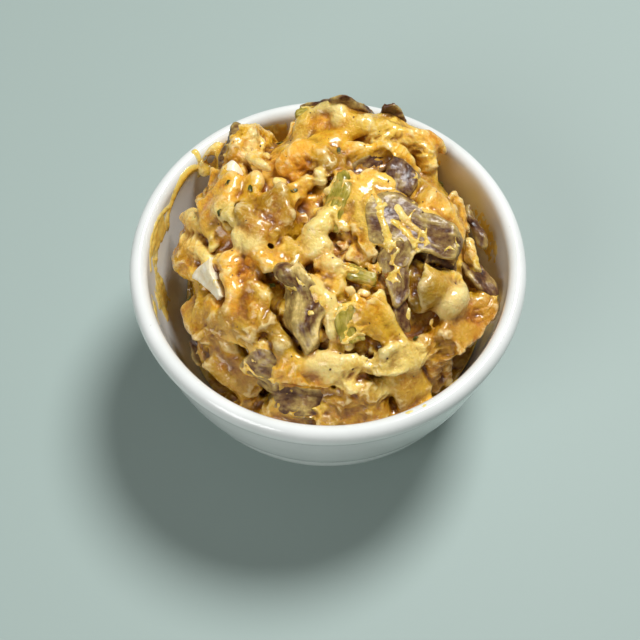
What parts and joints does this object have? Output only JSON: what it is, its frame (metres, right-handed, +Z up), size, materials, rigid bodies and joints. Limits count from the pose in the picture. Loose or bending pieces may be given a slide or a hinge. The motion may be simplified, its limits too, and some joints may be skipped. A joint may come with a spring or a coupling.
{
  "type": "potato salad in a bowl",
  "caption": "Chunky skin-on potato salad in creamy golden dressing, heaped in a round white glazed side bowl with a rolled rim.",
  "frame": {"origin": "on the table under the middle of the bowl's foot ring", "axes": "+Z up through the bowl, -Y towards the side that the picture shows as the front, +X to its right"},
  "size_m": [0.112, 0.112, 0.0762],
  "materials": {
    "glaze": "gloss white glaze",
    "dressed_potato": "wet creamy dressing on potato",
    "potato_skin": "wet dark potato skin",
    "celery": "wet pale green celery and herbs",
    "egg_white": "wet egg white"
  },
  "bodies": {
    "root": {"bowl": "glaze", "potato_salad": "dressed_potato"}
  },
  "joints": []
}
